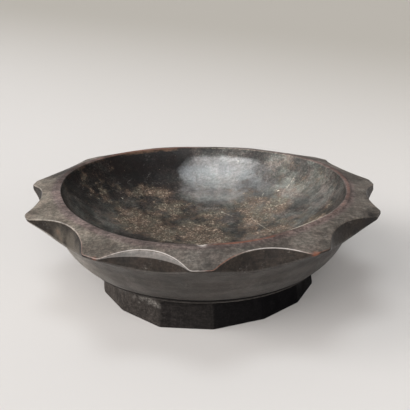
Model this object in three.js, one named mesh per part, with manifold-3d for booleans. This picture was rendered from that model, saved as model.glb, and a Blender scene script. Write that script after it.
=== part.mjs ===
// Footed wooden bowl with a star rim of eleven blunt points, in two jointed pieces.
// Millimetres, +Z up. The origin is the middle of the foot's flat underside.
// Angles go round from the front, which is -Y, towards +X.
import * as THREE from 'three';
import { mergeVertices, toCreasedNormals } from 'three/addons/utils/BufferGeometryUtils.js';
import Module from 'manifold-3d';

const wasm = await Module();
wasm.setup();

// Star rim
const tipRadius = 135; // axis to the blunt end of a full point
const tipHeight = 71.4; // table to the upper edge of a point's end
const tipThickness = 1.6; // height of the blunt end
const scallopLean = 8; // degrees by which a scallop's face leans out towards its foot
const bevelLean = 34; // the same for the bevel along the top of a scallop that has one
const rimTwist = 2.6; // the dried wood's rim stands this much up at its sides and down in front
const rimTwistTurn = -9.5; // degrees from the front to the twisted rim's lowest place
const rimTilt = 0.7; // the whole rim is this much out of level with the foot, over its radius
const rimTiltTurn = 20; // degrees from the front to the highest place of that tilt

// The points as they were cut by hand, the front one first and round towards +X. turn is in
// degrees off the even place, width is that of the blunt end, short is what the end lacks to
// the tip circle, and bite is the depth below that circle of the scallop that follows. bevel
// is how much of that bite only the bevel along the scallop's top takes.
const points = [
  { turn: -0.5, width: 15, short: 0, bite: 16.3, bevel: 0 },
  { turn: 1, width: 15, short: 0, bite: 14.8, bevel: 0 },
  { turn: 1, width: 12.5, short: 1, bite: 13.5, bevel: 0 },
  { turn: -1.7, width: 13.5, short: 3.5, bite: 15, bevel: 0 },
  { turn: 0, width: 13.5, short: 1, bite: 16, bevel: 0 },
  { turn: 0, width: 13.5, short: 0, bite: 16, bevel: 0 },
  { turn: 0, width: 13.5, short: 1.5, bite: 16.5, bevel: 0 },
  { turn: 0, width: 13.5, short: 7.5, bite: 15, bevel: 0 },
  { turn: 0.5, width: 11, short: 2, bite: 14.2, bevel: 0 },
  { turn: -2, width: 11, short: 0, bite: 17.3, bevel: 0 },
  { turn: 0.5, width: 13.5, short: 0, bite: 17, bevel: 2.2 },
];

// Mouth and hollow
const mouthRadius = 107.5;
const mouthHeight = 77; // table to the flat of the rim at the mouth
const lipWidth = 4; // low round bead along the mouth
const lipRise = 0.9;
const hollowDepth = 41; // mouth to the lowest place of the hollow
const hollowSteepness = 0.5; // share of the depth over which the hollow's wall stays steep
const hollowDraw = 0.93; // share of the mouth's radius that the steep wall draws in towards
const hollowFullness = 0.62; // share of the mouth's radius over which the hollow's floor stays low

// Outer wall. The handles are the shares of the way out and up at which each curve is held.
const collarRadius = 90.5; // round edge that overhangs the foot's facets
const collarHeight = 25.8; // table to that edge
const waistRadius = 110; // where the round belly turns into the flare under the points
const waistHeight = 49;
const bellyHandles = [{ out: 0.5, up: 0.28 }, { out: 0.78, up: 0.58 }];
const flareHandles = [{ out: 0.16, up: 0.3 }, { out: 0.54, up: 0.7 }];

// Foot
const footRadius = 82.8; // axis to a corner, on the table
const footTaper = 2; // how much less that is under the collar
const footTurn = 4.4; // degrees from the front to the first corner
const footEasing = 0.7; // worn chamfer round the standing face

// The foot's corners as they were cut by hand, in the same order as the points. turn is in
// degrees off the even place, and reach is what the corner has over the foot's radius.
const corners = [
  { turn: 0, reach: 1.2 },
  { turn: 2, reach: -1.5 },
  { turn: 2, reach: -0.5 },
  { turn: 0.5, reach: 2.4 },
  { turn: 0, reach: 0.5 },
  { turn: 0, reach: 0 },
  { turn: 0, reach: 0 },
  { turn: 0, reach: 0 },
  { turn: 0, reach: 0 },
  { turn: 0, reach: -1 },
  { turn: 0.5, reach: -2 },
  { turn: 1, reach: -3 },
  { turn: -0.5, reach: -2 },
  { turn: 0, reach: 3 },
];

// Joint between the two pieces: a round spigot under the bowl in a recess in the foot
const seamHeight = 27.4; // table to the joint line that shows round the wall
const spigotRadius = 32;
const spigotLength = 7;
const glueGap = 0.3;

// Wood left over the tip circle on the lathe, for the points' ends to be cut from
const trimAllowance = 2;

// Fineness of the round faces, and halvings in the search for a place on a curve
const turnSteps = 99;
const scoopSteps = 60;
const bellySteps = 7;
const flareSteps = 6;
const beadSteps = 6;
const hollowSteps = 14;
const searchHalvings = 30;
const sharpEdge = 18; // degrees between two faces from which their edge is shaded sharp

const darkWood = new THREE.MeshStandardMaterial({ color: 0x4a433f, roughness: 0.5, metalness: 0 });
const blackenedWood = new THREE.MeshStandardMaterial({ color: 0x1e1b1a, roughness: 0.6, metalness: 0 });

const radians = THREE.MathUtils.degToRad;

// Point at an angle round from the front, at a distance from the axis
function aroundAxis(angle, radius, height) {
  return new THREE.Vector3(radius * Math.sin(angle), -radius * Math.cos(angle), height);
}

// Closed mesh to solid, with the vertices that neighbours share merged
function toSolid(geometry) {
  const bare = geometry.clone();
  bare.deleteAttribute('normal');
  bare.deleteAttribute('uv');
  const merged = mergeVertices(bare, 1e-4);
  return new wasm.Manifold(new wasm.Mesh({
    numProp: 3,
    vertProperties: new Float32Array(merged.attributes.position.array),
    triVerts: new Uint32Array(merged.index.array),
  }));
}

// Solid back to a mesh geometry
function toGeometry(solid) {
  const mesh = solid.getMesh();
  const geometry = new THREE.BufferGeometry();
  geometry.setAttribute('position', new THREE.BufferAttribute(new Float32Array(mesh.vertProperties), 3));
  geometry.setIndex(new THREE.BufferAttribute(new Uint32Array(mesh.triVerts), 1));
  return geometry;
}

// Mesh of a piece, shaded smooth over its round faces and sharp at its edges
function namedPiece(name, geometry, material) {
  const piece = new THREE.Mesh(toCreasedNormals(geometry, radians(sharpEdge)), material);
  piece.name = name;
  return piece;
}

// Revolves a profile of (radius, height) points, listed upwards round the outside, about +Z
function turned(profile) {
  const geometry = new THREE.LatheGeometry(profile, turnSteps);
  return geometry.rotateX(Math.PI / 2);
}

// Curve of a profile from one place to another, held by two handles
function heldCurve(from, to, handles) {
  const [first, second] = handles.map((handle) => new THREE.Vector2(
    from.x + handle.out * (to.x - from.x),
    from.y + handle.up * (to.y - from.y),
  ));
  return new THREE.CubicBezierCurve(from, first, second, to);
}

// The outer wall: a round belly up from the collar, then a flare out under the points
const waist = new THREE.Vector2(waistRadius, waistHeight);
const tipUnderside = new THREE.Vector2(tipRadius, tipHeight - tipThickness);
const belly = heldCurve(new THREE.Vector2(collarRadius, collarHeight), waist, bellyHandles);
const flare = heldCurve(waist, tipUnderside, flareHandles);

// Belly point at a height between the collar and the waist, found by halving
function bellyAt(height) {
  let low = 0;
  let high = 1;
  for (let i = 0; i < searchHalvings; i++) {
    const middle = (low + high) / 2;
    if (belly.getPoint(middle).y < height) {
      low = middle;
    } else {
      high = middle;
    }
  }
  return { share: low, radius: belly.getPoint(low).x };
}

// Slope of the flat of the rim, from the mouth's bead out to the tips
const rimInner = mouthRadius + lipWidth;
const rimFall = (mouthHeight - tipHeight) / (tipRadius - rimInner);
function rimTopAt(radius) {
  return mouthHeight - rimFall * (radius - rimInner);
}

// Blank of the bowl as it comes off the lathe, round and a little over the tip circle
function turnedBlank() {
  const seam = bellyAt(seamHeight + glueGap);
  const blankRadius = tipRadius + trimAllowance;
  const floorHeight = mouthHeight - hollowDepth;
  const profile = [
    new THREE.Vector2(0, seamHeight - spigotLength),
    new THREE.Vector2(spigotRadius, seamHeight - spigotLength),
    new THREE.Vector2(spigotRadius, seamHeight + glueGap),
  ];
  for (let i = 0; i <= bellySteps; i++) {
    profile.push(belly.getPoint(seam.share + (1 - seam.share) * i / bellySteps));
  }
  profile.push(...flare.getPoints(flareSteps).slice(1));
  profile.push(new THREE.Vector2(blankRadius, tipUnderside.y));
  profile.push(new THREE.Vector2(blankRadius, rimTopAt(blankRadius)));
  profile.push(new THREE.Vector2(rimInner, mouthHeight));
  for (let i = 1; i <= beadSteps; i++) {
    const turn = Math.PI * i / beadSteps;
    const radius = mouthRadius + lipWidth / 2 + lipWidth / 2 * Math.cos(turn);
    profile.push(new THREE.Vector2(radius, mouthHeight + lipRise * Math.sin(turn)));
  }
  const hollow = new THREE.CubicBezierCurve(
    new THREE.Vector2(mouthRadius, mouthHeight),
    new THREE.Vector2(mouthRadius * hollowDraw, mouthHeight - hollowSteepness * hollowDepth),
    new THREE.Vector2(mouthRadius * hollowFullness, floorHeight),
    new THREE.Vector2(0, floorHeight),
  );
  profile.push(...hollow.getPoints(hollowSteps).slice(1));
  return toSolid(turned(profile));
}

// Angle of a hand-cut place, counted on past the last one by whole turns
function handAngle(places, index, firstTurn) {
  const count = places.length;
  const own = places[((index % count) + count) % count];
  return radians(firstTurn) + 2 * Math.PI * index / count + radians(own.turn);
}

// Centre of the circle through three points of a plane
function circleCentre(a, b, c) {
  const p = b.clone().sub(a);
  const q = c.clone().sub(a);
  const area = 2 * p.cross(q);
  return new THREE.Vector2(
    a.x + (q.y * p.lengthSq() - p.y * q.lengthSq()) / area,
    a.y + (p.x * q.lengthSq() - q.x * p.lengthSq()) / area,
  );
}

// Gouge that takes out the scallop after a point. Its round face passes through the near
// corners of the two blunt ends and through the scallop's deepest place, midway. It leans
// back by some degrees, and bites a depth below the tip circle.
function scallopGouge(index, leanDegrees, bite) {
  const near = points[index];
  const far = points[(index + 1) % points.length];
  const start = handAngle(points, index, 0) + Math.atan(near.width / 2 / tipRadius);
  const end = handAngle(points, index + 1, 0) - Math.atan(far.width / 2 / tipRadius);
  const middle = (start + end) / 2;
  const lean = radians(leanDegrees);
  const deepRadius = tipRadius - bite;
  const deepHeight = rimTopAt(deepRadius);
  // Across the gouge: x is sideways, and y is square to its leaning face, outwards
  const across = (angle, radius) => new THREE.Vector2(
    radius * Math.sin(angle - middle),
    (radius * Math.cos(angle - middle) - deepRadius) * Math.cos(lean)
      + (rimTopAt(radius) - deepHeight) * Math.sin(lean),
  );
  const deepest = new THREE.Vector2(0, 0);
  const startCorner = across(start, tipRadius - near.short);
  const endCorner = across(end, tipRadius - far.short);
  const centre = circleCentre(startCorner, deepest, endCorner);
  const gouge = new THREE.CylinderGeometry(centre.length(), centre.length(), 2 * mouthHeight, scoopSteps);
  gouge.rotateX(Math.PI / 2);
  gouge.translate(centre.x, -centre.y, 0);
  gouge.rotateX(-lean);
  gouge.translate(0, -deepRadius, deepHeight);
  gouge.rotateZ(middle);
  return toSolid(gouge);
}

// Chisel cut that squares off the blunt end of a point
function endTrim(index) {
  const blockSize = 2 * mouthHeight;
  const trim = new THREE.BoxGeometry(blockSize, blockSize, blockSize);
  trim.translate(0, -(tipRadius - points[index].short) - blockSize / 2, 0);
  trim.rotateZ(handAngle(points, index, 0));
  return toSolid(trim);
}

// What drying and the hand left of a true rim: a twist and a tilt, nothing at the seam,
// full at the rim, and growing outwards
function warpRim(geometry) {
  const position = geometry.attributes.position;
  for (let i = 0; i < position.count; i++) {
    const x = position.getX(i);
    const y = position.getY(i);
    const z = position.getZ(i);
    const turn = Math.atan2(x, -y);
    const share = THREE.MathUtils.smoothstep(z, seamHeight + glueGap, tipHeight);
    const reach = Math.hypot(x, y) / tipRadius;
    const twist = rimTwist * reach * reach * Math.cos(2 * (turn - radians(rimTwistTurn)));
    const tilt = rimTilt * reach * Math.cos(turn - radians(rimTiltTurn));
    position.setZ(i, z + share * (tilt - twist));
  }
  return geometry;
}

function buildBowl() {
  let solid = turnedBlank();
  points.forEach((point, index) => {
    solid = solid.subtract(scallopGouge(index, scallopLean, point.bite - point.bevel));
    if (point.bevel > 0) {
      solid = solid.subtract(scallopGouge(index, bevelLean, point.bite));
    }
    solid = solid.subtract(endTrim(index));
  });
  return namedPiece('bowl', warpRim(toGeometry(solid)), darkWood);
}

// One ring of the foot's corners, drawn in by an inset, at a height
function footRing(inset, height) {
  return corners.map((corner, index) => aroundAxis(
    handAngle(corners, index, footTurn),
    footRadius + corner.reach - inset,
    height,
  ));
}

// Closed loft through rings of corners, lowest first
function loft(rings) {
  const count = rings[0].length;
  const places = rings.flat();
  const indices = [];
  for (let row = 0; row + 1 < rings.length; row++) {
    for (let i = 0; i < count; i++) {
      const a = row * count + i;
      const b = row * count + (i + 1) % count;
      indices.push(a, b, b + count, a, b + count, a + count);
    }
  }
  const lastRow = (rings.length - 1) * count;
  for (let i = 1; i + 1 < count; i++) {
    indices.push(0, i + 1, i, lastRow, lastRow + i, lastRow + i + 1);
  }
  const geometry = new THREE.BufferGeometry().setFromPoints(places);
  geometry.setIndex(indices);
  return geometry;
}

function buildFoot() {
  const block = toSolid(loft([
    footRing(footEasing, 0),
    footRing(0, footEasing),
    footRing(footTaper, (collarHeight + seamHeight) / 2),
  ]));
  const collar = toSolid(turned([
    new THREE.Vector2(0, collarHeight),
    new THREE.Vector2(collarRadius, collarHeight),
    new THREE.Vector2(bellyAt(seamHeight).radius, seamHeight),
    new THREE.Vector2(0, seamHeight),
  ]));
  const recess = toSolid(turned([
    new THREE.Vector2(0, seamHeight - spigotLength - glueGap),
    new THREE.Vector2(spigotRadius + glueGap, seamHeight - spigotLength - glueGap),
    new THREE.Vector2(spigotRadius + glueGap, seamHeight + spigotLength),
    new THREE.Vector2(0, seamHeight + spigotLength),
  ]));
  return namedPiece('foot', toGeometry(block.add(collar).subtract(recess)), blackenedWood);
}

const footedBowl = new THREE.Group();
footedBowl.add(buildFoot());
footedBowl.add(buildBowl());

export default footedBowl;
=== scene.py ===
import math

import bpy
import numpy as np
from mathutils import Matrix, Vector


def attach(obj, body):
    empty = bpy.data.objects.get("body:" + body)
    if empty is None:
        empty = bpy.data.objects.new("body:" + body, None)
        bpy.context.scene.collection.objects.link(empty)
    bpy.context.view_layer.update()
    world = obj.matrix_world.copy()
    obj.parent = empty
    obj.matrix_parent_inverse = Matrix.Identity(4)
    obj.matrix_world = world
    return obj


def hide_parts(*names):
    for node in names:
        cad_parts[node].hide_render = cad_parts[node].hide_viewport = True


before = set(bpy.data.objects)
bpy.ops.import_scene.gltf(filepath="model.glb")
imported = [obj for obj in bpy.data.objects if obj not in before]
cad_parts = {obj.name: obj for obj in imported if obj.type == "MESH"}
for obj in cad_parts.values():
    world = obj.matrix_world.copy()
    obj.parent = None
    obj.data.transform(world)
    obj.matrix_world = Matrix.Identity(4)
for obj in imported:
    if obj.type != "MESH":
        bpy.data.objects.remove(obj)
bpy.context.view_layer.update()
print("frame loaded:", ", ".join(sorted(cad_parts)))

# Lengths in the dictionaries are millimetres, but what the finishes give to their effects is in metres.
# Turns are degrees round from the front (-Y) towards +X. Meshes are built in millimetres and turned into
# metres at the end.
millimetre = 0.001

cameraView = {
    "place": (1.1, -573.6, 277.4),
    "downward": 20.63,      # degrees below the level
    "roll": -0.34,
    "fieldOfView": 28.76,
}


def addObject(name, data):
    thing = bpy.data.objects.new(name, data)
    bpy.context.scene.collection.objects.link(thing)
    return thing


def addCamera(view):
    lens = bpy.data.cameras.new("photoView")
    lens.sensor_fit = "HORIZONTAL"
    lens.angle = math.radians(view["fieldOfView"])
    camera = addObject("photoView", lens)
    turn = Matrix.Rotation(math.radians(90 - view["downward"]), 4, "X")
    roll = Matrix.Rotation(math.radians(view["roll"]), 4, "Z")
    camera.matrix_world = Matrix.Translation(Vector(view["place"]) * millimetre) @ turn @ roll
    bpy.context.scene.camera = camera


addCamera(cameraView)
print("camera placed")


# Shapes: small tools that both pieces use

def softNoise(places, size, seed):  # smooth noise from -1 to 1, in lumps of about that size
    count = 32
    lattice = np.random.default_rng(seed).uniform(-1, 1, (count, count, count))
    cells = places / size + 1000.0
    base = np.floor(cells).astype(int)
    part = cells - base
    part = part * part * (3 - 2 * part)
    total = np.zeros(places.shape[:-1])
    for corner in range(8):
        step = np.array([corner & 1, corner >> 1 & 1, corner >> 2 & 1])
        share = np.prod(np.where(step == 1, part, 1 - part), axis=-1)
        index = (base + step) % count
        total += share * lattice[index[..., 0], index[..., 1], index[..., 2]]
    return total


def smoothStep(value, low, high):
    share = np.clip((value - low) / (high - low), 0, 1)
    return share * share * (3 - 2 * share)


def columnTurns(shape):  # the turn of each column, in radians
    return 2 * np.pi * np.arange(shape["columns"]) / shape["columns"]


def turnFrom(turns, middle):  # how far each turn is from another, either way round
    return np.mod(turns - middle + np.pi, 2 * np.pi) - np.pi


def roundBlend(values, spread):  # blur round a closed ring, with the spread in columns
    count = len(values)
    offset = np.minimum(np.arange(count), count - np.arange(count))
    weight = np.exp(-0.5 * (offset / spread) ** 2)
    return np.fft.ifft(np.fft.fft(values) * np.fft.fft(weight / weight.sum())).real


def roundCurve(stops, turns, soften):  # closed curve through (turn, value) stops
    angles = np.mod([stop[0] for stop in stops], 360)
    order = np.argsort(angles)
    angles = np.radians(angles[order])
    values = np.array([stop[1] for stop in stops])[order]
    angles = np.concatenate([angles - 2 * np.pi, angles, angles + 2 * np.pi])
    raw = np.interp(np.mod(turns, 2 * np.pi), angles, np.tile(values, 3))
    return roundBlend(raw, soften / 360 * len(turns))


def curveRound(values, name, turns):  # a piece's curve, softened as its dictionary says
    return roundCurve(values[name], turns, values["soften"][name])


def bezier(corners, shares):
    start, first, second, end = [np.array(corner, float) for corner in corners]
    share = np.asarray(shares)[..., None]
    rest = 1 - share
    return rest**3 * start + 3 * rest**2 * share * first + 3 * rest * share**2 * second + share**3 * end


def roundedCorner(before, corner, after, setback, steps):  # rows of (radius, height) round a corner
    def towards(other):
        way = other - corner
        length = np.maximum(np.linalg.norm(way, axis=0), 1e-6)
        return corner + way / length * np.minimum(setback, 0.45 * length)

    start, end = towards(before), towards(after)
    return [
        (1 - share) ** 2 * start + 2 * share * (1 - share) * corner + share**2 * end
        for share in np.linspace(0, 1, steps)
    ]


def flatRow(turns, radius, height):
    return np.stack([np.broadcast_to(radius, turns.shape), np.broadcast_to(height, turns.shape)])


def aroundAxis(turns, radius, height):
    return np.stack([radius * np.sin(turns), -radius * np.cos(turns), height], axis=-1)


def gridFaces(rowCount, columnCount):  # quads round a tube of rows, and a fan at either end
    row, column = np.meshgrid(np.arange(rowCount - 1), np.arange(columnCount), indexing="ij")
    start, following = row * columnCount, (column + 1) % columnCount
    above = start + columnCount
    quads = np.stack([start + column, above + column, above + following, start + following], axis=-1)
    firstEnd = rowCount * columnCount
    ring = np.arange(columnCount)
    nextRing = (ring + 1) % columnCount
    last = (rowCount - 1) * columnCount
    fans = np.concatenate([
        np.stack([np.full(columnCount, firstEnd), ring, nextRing], axis=-1),
        np.stack([np.full(columnCount, firstEnd + 1), last + nextRing, last + ring], axis=-1),
    ])
    return quads.reshape(-1, 4).tolist() + fans.tolist()


def gridNormals(places):
    alongRows = np.gradient(places, axis=0)
    roundColumns = np.roll(places, -1, axis=1) - np.roll(places, 1, axis=1)
    normal = np.cross(alongRows, roundColumns)
    return normal / np.maximum(np.linalg.norm(normal, axis=-1, keepdims=True), 1e-9)


def wholeRows(found, columnCount):  # a mask with each row's value all the way round
    return np.repeat(found.astype(float)[:, None], columnCount, axis=1)


def wander(places, values):  # a line's wander, of a size, a reach and a seed
    size, reach, seed = values
    return reach * softNoise(places, size, seed)


def paintSpots(places, spots):  # soft spots of paint, each (x, y, z, reach, strength)
    total = np.zeros(places.shape[:-1])
    for x, y, z, reach, strength in spots:
        away = np.linalg.norm(places - np.array([x, y, z]), axis=-1) / reach
        total = np.maximum(total, strength * np.exp(-away**2))
    return total


def makeGridPiece(name, places, masks, node, material):
    rowCount, columnCount = places.shape[:2]
    ends = np.array([places[0].mean(axis=0), places[-1].mean(axis=0)])
    points = np.concatenate([places.reshape(-1, 3), ends]) * millimetre
    mesh = bpy.data.meshes.new(name)
    mesh.from_pydata(points.tolist(), [], gridFaces(rowCount, columnCount))
    mesh.polygons.foreach_set("use_smooth", [True] * len(mesh.polygons))
    for maskName, mask in masks.items():
        values = np.concatenate([mask.reshape(-1), [mask[0].mean(), mask[-1].mean()]])
        layer = mesh.attributes.new(maskName, "FLOAT", "POINT")
        layer.data.foreach_set("value", values.astype(np.float32))
    mesh.update()
    mesh.materials.append(material)
    piece = addObject(name, mesh)
    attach(piece, "root")
    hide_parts(node)
    print(name, "built:", len(mesh.polygons), "faces")


# Finishes: node helpers and the effects that both materials share

def setSocket(socket, value):
    if isinstance(value, bpy.types.NodeSocket):
        socket.id_data.links.new(value, socket)
    elif isinstance(value, tuple) and len(value) == 3 and socket.type == "RGBA":
        socket.default_value = (*value, 1)
    else:
        socket.default_value = value


# A node goes into the tree that its linked inputs come from. Inputs in0, in1 and so on are told by number.
def addNode(kind, settings=None, **inputs):
    tree = next(value.id_data for value in inputs.values() if isinstance(value, bpy.types.NodeSocket))
    node = tree.nodes.new("ShaderNode" + kind)
    for key, value in (settings or {}).items():
        setattr(node, key, value)
    for key, value in inputs.items():
        socket = node.inputs[int(key[2:])] if key.startswith("in") else node.inputs[key]
        setSocket(socket, value)
    return node


def mathTool(operation):
    def calculate(first, second=0.0, clamp=False):
        settings = {"operation": operation, "use_clamp": clamp}
        return addNode("Math", settings, in0=first, in1=second).outputs[0]

    return calculate


plus, minus, times, over = [mathTool(name) for name in ("ADD", "SUBTRACT", "MULTIPLY", "DIVIDE")]
larger, withoutSign = mathTool("MAXIMUM"), mathTool("ABSOLUTE")


def vectorMath(operation, first, second, output="Vector"):
    return addNode("VectorMath", {"operation": operation}, in0=first, in1=second).outputs[output]


def remap(value, low, high, newLow=0.0, newHigh=1.0):
    settings = {"interpolation_type": "SMOOTHSTEP"}
    node = addNode("MapRange", settings, in0=value, in1=low, in2=high, in3=newLow, in4=newHigh)
    return node.outputs[0]


def between(mask, low, high):  # low where the mask is 0, and high where it is 1
    return remap(mask, 0.0, 1.0, low, high)


def mixColour(share, first, second, blend="MIX"):
    settings = {"data_type": "RGBA", "blend_type": blend}
    return addNode("Mix", settings, in0=share, in6=first, in7=second).outputs[2]


def greyColour(value):
    return addNode("CombineColor", None, in0=value, in1=value, in2=value).outputs[0]


def blend(share, first, second):  # part of the way from one value to another
    return plus(first, times(share, minus(second, first)))


def noise(place, scale, detail, roughness):
    node = addNode("TexNoise", None, Vector=place, Scale=scale, Detail=detail, Roughness=roughness)
    return node.outputs[0]


def noiseMask(place, scale, detail, roughness, *growth):
    return remap(noise(place, scale, detail, roughness), *growth)


def readMask(place, name):
    node = place.id_data.nodes.new("ShaderNodeAttribute")
    node.attribute_type = "GEOMETRY"
    node.attribute_name = name
    return node.outputs["Fac"]


# A noise is its detail and roughness. A growth is the two values that a mark grows between, and then what
# it grows from and to where that isn't 0 and 1. Where a mark needs both, the noise comes first. Scales are
# shares of the scale that the group is given, but a nick's is its own.
effectSet = {
    "patina": {
        "clouds": (5.0, 0.62, 0.34, 0.66),
        "flecks": (5.0, 0.75, 0.36, 0.68),
        "pits": (0.05, 0.28, 1.0, 0.0),
    },
    "woodGrain": {"fibres": (6.0, 0.65), "streaks": (0.38, 0.64)},
    "rubbedWear": {"crumbs": (5.0, 0.7, 0.25, 0.75, -0.45, 0.45), "worn": (0.12, 0.85)},
    "settledDust": {
        "driftScale": 0.10,
        "drifts": (7.0, 0.75),
        "heaped": 0.30,             # what full paint adds to the drifts, over the bare wood's
        "bare": -0.15,
        "film": (0.43, 0.62),
        "clusterScale": 0.30,
        "clusters": (3.0, 0.7),
        "clustered": 0.35,
        "grains": (3.0, 0.9),
        "filmed": 0.16,
        "specks": (0.85, 0.98),
    },
    "turningBands": {"stretch": (0.07, 0.07, 1.0), "bands": (5.0, 0.6, 0.34, 0.66)},
    "fineScratches": {
        "directions": ((0.6, 0.0), (-0.9, 0.31)),   # turn, and shift along the scratch
        "stretch": (0.09, 1.6, 1.6),
        "lines": (2.0, 0.5),
        "middle": 0.5,
        "thinness": (0.0, 0.012, 1.0, 0.0),
        "patchScale": 0.35,
        "patches": (4.0, 0.6, 0.55, 0.66),
    },
    "nick": {"edge": (0.15, 0.6, 1.0, 0.0), "crumbScale": 900.0, "crumbs": (3.0, 0.7, 0.40, 0.60)},
}


def makeGroup(name, effect, outputs, **inputs):  # an input without a number is a vector
    group = bpy.data.node_groups.new(name, "ShaderNodeTree")
    for label, value in {"Place": None, **inputs}.items():
        kind = "NodeSocketVector" if value is None else "NodeSocketFloat"
        socket = group.interface.new_socket(name=label, in_out="INPUT", socket_type=kind)
        if value is not None:
            socket.default_value = value
    for label in outputs:
        group.interface.new_socket(name=label, in_out="OUTPUT", socket_type="NodeSocketFloat")
    given = group.nodes.new("NodeGroupInput").outputs
    ends = group.nodes.new("NodeGroupOutput").inputs
    for label, value in zip(outputs, effect(given, given["Place"], effectSet[name])):
        group.links.new(value, ends[label])
    return group


def useGroup(group, place, **inputs):
    node = place.id_data.nodes.new("ShaderNodeGroup")
    node.node_tree = group
    for key, value in {"Place": place, **inputs}.items():
        setSocket(node.inputs[key], value)
    return node.outputs


def patinaEffect(given, place, values):  # clouds of old polish, finer flecks, and small pits
    cloudScale = over(1.0, given["Cloud"])
    fleckScale = over(1.0, given["Fleck"])
    clouds = noiseMask(place, cloudScale, *values["clouds"])
    flecks = noiseMask(place, fleckScale, *values["flecks"])
    cell = addNode("TexVoronoi", None, Vector=place, Scale=fleckScale)
    return clouds, flecks, remap(cell.outputs["Distance"], *values["pits"])


def grainEffect(given, place, values):  # wood fibres that run along X, finer or coarser
    stretch = addNode("CombineXYZ", None, X=given["Stretch"], Y=1.0, Z=1.0).outputs[0]
    drawn = vectorMath("MULTIPLY", place, stretch)
    fibres = noise(drawn, over(1.0, given["Spacing"]), *values["fibres"])
    return remap(fibres, *values["streaks"]), fibres


def wearEffect(given, place, values):  # breaks a painted mask up into rubbed and unrubbed wood, and the painted shade into patches
    crumbs = noiseMask(place, over(1.0, given["Breakup"]), *values["crumbs"])
    broken = plus(given["Paint"], times(crumbs, given["Paint"]))
    return [remap(broken, *values["worn"])]


def dustEffect(given, place, values):  # dry dust: a film in drifts, and specks that lie thickest there
    scale = over(1.0, given["Speck"])
    drifts = noise(place, times(scale, values["driftScale"]), *values["drifts"])
    heaped = plus(times(given["Paint"], values["heaped"]), values["bare"])
    film = remap(plus(drifts, heaped), *values["film"])
    clusters = noise(place, times(scale, values["clusterScale"]), *values["clusters"])
    grains = noise(place, scale, *values["grains"])
    grains = plus(grains, times(clusters, values["clustered"]))
    grains = plus(grains, times(film, values["filmed"]))
    return film, remap(grains, *values["specks"])


def turningEffect(given, place, values):  # level bands left round a wall by the turning tool
    drawn = vectorMath("MULTIPLY", place, values["stretch"])
    return [noiseMask(drawn, over(1.0, given["Spacing"]), *values["bands"])]


def scratchEffect(given, place, values):  # thin scratches in two slanting directions
    scale = over(1.0, given["Spacing"])
    patchScale = times(scale, values["patchScale"])
    found = 0.0
    for turn, shift in values["directions"]:
        settings = {"rotation_type": "Z_AXIS"}
        turned = addNode("VectorRotate", settings, Vector=place, Angle=turn).outputs[0]
        drawn = vectorMath("MULTIPLY", turned, values["stretch"])
        drawn = vectorMath("ADD", drawn, (shift, 0.0, 0.0))
        away = withoutSign(minus(noise(drawn, scale, *values["lines"]), values["middle"]))
        patches = noiseMask(turned, patchScale, *values["patches"])
        found = larger(found, times(remap(away, *values["thinness"]), patches))
    return [found]


def nickEffect(given, place, values):  # one short nick, seen from above, from a start along a way
    level = vectorMath("MULTIPLY", place, (1.0, 1.0, 0.0))
    away = vectorMath("SUBTRACT", level, given["Start"])
    reached = vectorMath("DOT_PRODUCT", away, given["Along"], "Value")
    whole = vectorMath("DOT_PRODUCT", given["Along"], given["Along"], "Value")
    share = over(reached, whole, True)
    nearest = addNode("VectorMath", {"operation": "SCALE"}, in0=given["Along"], Scale=share).outputs[0]
    apart = vectorMath("DISTANCE", away, nearest, "Value")
    mask = remap(over(apart, given["Width"]), *values["edge"])
    return [times(mask, noiseMask(place, values["crumbScale"], *values["crumbs"]))]


patinaGroup = makeGroup("patina", patinaEffect, ["Clouds", "Flecks", "Pits"], Cloud=0.02, Fleck=0.0022)
grainGroup = makeGroup("woodGrain", grainEffect, ["Streaks", "Height"], Spacing=0.0012, Stretch=0.05)
wearGroup = makeGroup("rubbedWear", wearEffect, ["Mask"], Paint=0.0, Breakup=0.004)
dustGroup = makeGroup("settledDust", dustEffect, ["Film", "Specks"], Paint=0.0, Speck=0.0013)
turningGroup = makeGroup("turningBands", turningEffect, ["Bands"], Spacing=0.004)
scratchGroup = makeGroup("fineScratches", scratchEffect, ["Mask"], Spacing=0.006)
nickGroup = makeGroup("nick", nickEffect, ["Mask"], Start=None, Along=None, Width=0.001)


def startMaterial(name):
    material = bpy.data.materials.new(name)
    material.use_nodes = True
    tree = material.node_tree
    place = tree.nodes.new("ShaderNodeTexCoord").outputs["Object"]
    return material, tree.nodes["Principled BSDF"], place


def woodEffects(place, finish):  # the effects that both woods have all over
    patina = useGroup(patinaGroup, place, **finish["patina"])
    grain = useGroup(grainGroup, place, **finish["grain"])
    return patina, grain, useGroup(scratchGroup, place, Spacing=finish["scratchSpacing"])["Mask"]


def brokenUpMask(place, name, breakup):
    return useGroup(wearGroup, place, Paint=readMask(place, name), Breakup=breakup)["Mask"]


def paintZones(place, colour, finish, zones):
    for mask, paint in zones.items():
        colour = mixColour(readMask(place, mask), colour, finish[paint])
    return colour


def paintWearAndShade(place, colour, finish, layers):  # each layer is (mask, breakup, strength, colour's name)
    for mask, breakup, strength, paint in layers:
        share = times(brokenUpMask(place, mask, breakup), strength)
        colour = mixColour(share, colour, finish[paint])
    return colour


def reliefNormal(finish, fibres, **marks):  # marks stand or lie at shares of the fibres' height
    height = fibres
    for name, mark in marks.items():
        height = plus(height, times(mark, finish["relief"][name]))
    return addNode("Bump", None, Height=height, **finish["bump"]).outputs[0]


def setShader(shader, values):
    for name, value in values.items():
        setSocket(shader.inputs[name], value)


print("finish groups made")

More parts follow.
